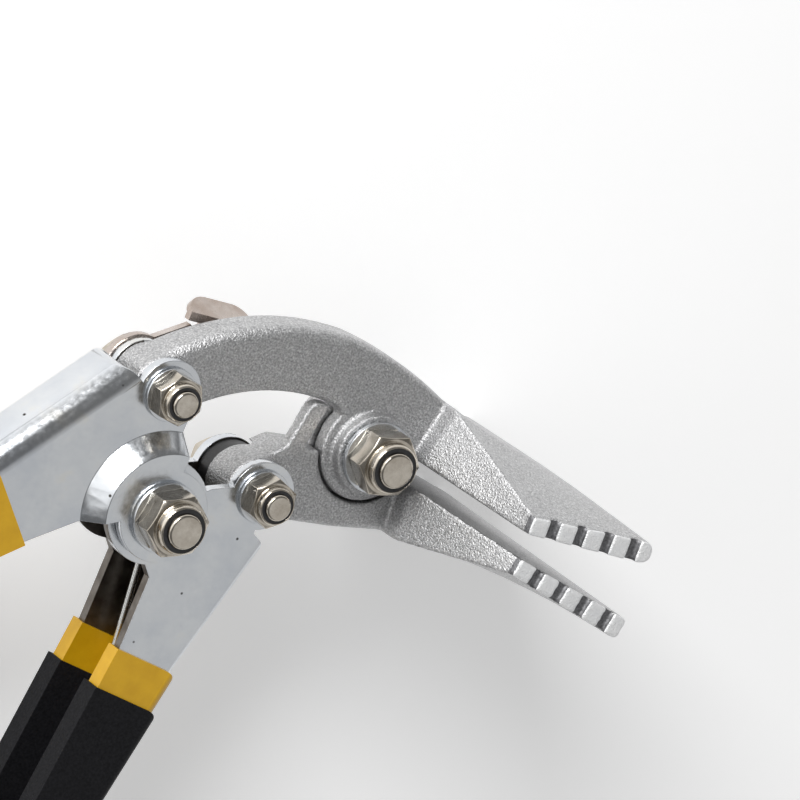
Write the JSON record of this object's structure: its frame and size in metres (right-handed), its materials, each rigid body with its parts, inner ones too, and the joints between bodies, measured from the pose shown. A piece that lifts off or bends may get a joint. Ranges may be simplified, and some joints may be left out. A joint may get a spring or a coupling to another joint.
{
  "type": "compound-leverage hand seamer",
  "caption": "Hand seaming tongs: two wide flared jaws on a compound lever with channel handles, return spring and swing latch, for folding sheet metal edges by hand.",
  "frame": {"origin": "centre of the upper jaw's grip face", "axes": "+X forward along the upper jaw, +Y up out of the jaw's back, +Z along the four pivot axes, towards the lock nuts; the tool stands open"},
  "size_m": [0.222, 0.1985, 0.083],
  "materials": {
    "cast_jaw": "bead-blasted casting, bright nickel grey",
    "zinc_plate": "bright zinc plate on cold rolled sheet",
    "plated_fastener": "nickel-coloured plate on steel",
    "turned_steel": "turned, oiled",
    "spring_wire": "drawn wire",
    "black_nylon": "moulded nylon",
    "yellow_dip": "dipped soft vinyl, satin",
    "black_grip": "dipped soft vinyl, matt and finely grained"
  },
  "bodies": {
    "upper_jaw": {"upper_jaw": "cast_jaw", "jaw_pivot_far_washer": "plated_fastener", "jaw_pivot_near_washer": "plated_fastener", "jaw_pivot_nut": "plated_fastener", "jaw_pivot_nut_insert": "black_nylon", "jaw_pivot_bolt": "plated_fastener", "jaw_pivot_bush": "turned_steel"},
    "lower_jaw": {"lower_jaw": "cast_jaw"},
    "upper_handle": {"upper_handle": "zinc_plate", "upper_sleeve": "yellow_dip", "upper_grip": "black_grip", "hinge_far_washer": "plated_fastener", "hinge_near_washer": "plated_fastener", "hinge_nut": "plated_fastener", "hinge_nut_insert": "black_nylon", "hinge_bolt": "plated_fastener", "tail_pivot_far_washer": "plated_fastener", "tail_pivot_near_washer": "plated_fastener", "tail_pivot_nut": "plated_fastener", "tail_pivot_nut_insert": "black_nylon", "tail_pivot_bolt": "plated_fastener", "return_spring_upper_leg": "spring_wire"},
    "lower_handle": {"lower_handle": "zinc_plate", "lower_sleeve": "yellow_dip", "lower_grip": "black_grip", "link_pivot_far_washer": "plated_fastener", "link_pivot_near_washer": "plated_fastener", "link_pivot_nut": "plated_fastener", "link_pivot_nut_insert": "black_nylon", "link_pivot_bolt": "plated_fastener", "link_spacer": "black_nylon", "hinge_tube": "turned_steel", "return_spring": "spring_wire"},
    "latch": {"latch": "zinc_plate"}
  },
  "joints": [
    {"name": "jaw_pivot", "type": "hinge", "parent": "upper_jaw", "child": "lower_jaw", "pos_m": [-0.038, 0.0014, 0], "axis": [0, 0, 1], "range_deg": [0, 13.1]},
    {"name": "tail_pivot", "type": "hinge", "parent": "upper_jaw", "child": "upper_handle", "pos_m": [-0.0926, 0.0034, 0], "axis": [0, 0, 1], "range_deg": [0, 5.2]},
    {"name": "hinge", "type": "hinge", "parent": "upper_handle", "child": "lower_handle", "pos_m": [-0.0858, -0.0219, 0], "axis": [0, 0, -1], "range_deg": [0, 19], "stiffness_Nm_per_rad": 0.6, "springref_deg": -22.92},
    {"name": "latch_pivot", "type": "hinge", "parent": "upper_handle", "child": "latch", "pos_m": [-0.0926, 0.0034, 0], "axis": [0, 0, 1], "range_deg": [-40, 20]}
  ],
  "couplings": [
    {"joint": "jaw_pivot", "follows": "hinge", "ratio": 0.6842},
    {"joint": "tail_pivot", "follows": "hinge", "ratio": 0.2679}
  ]
}
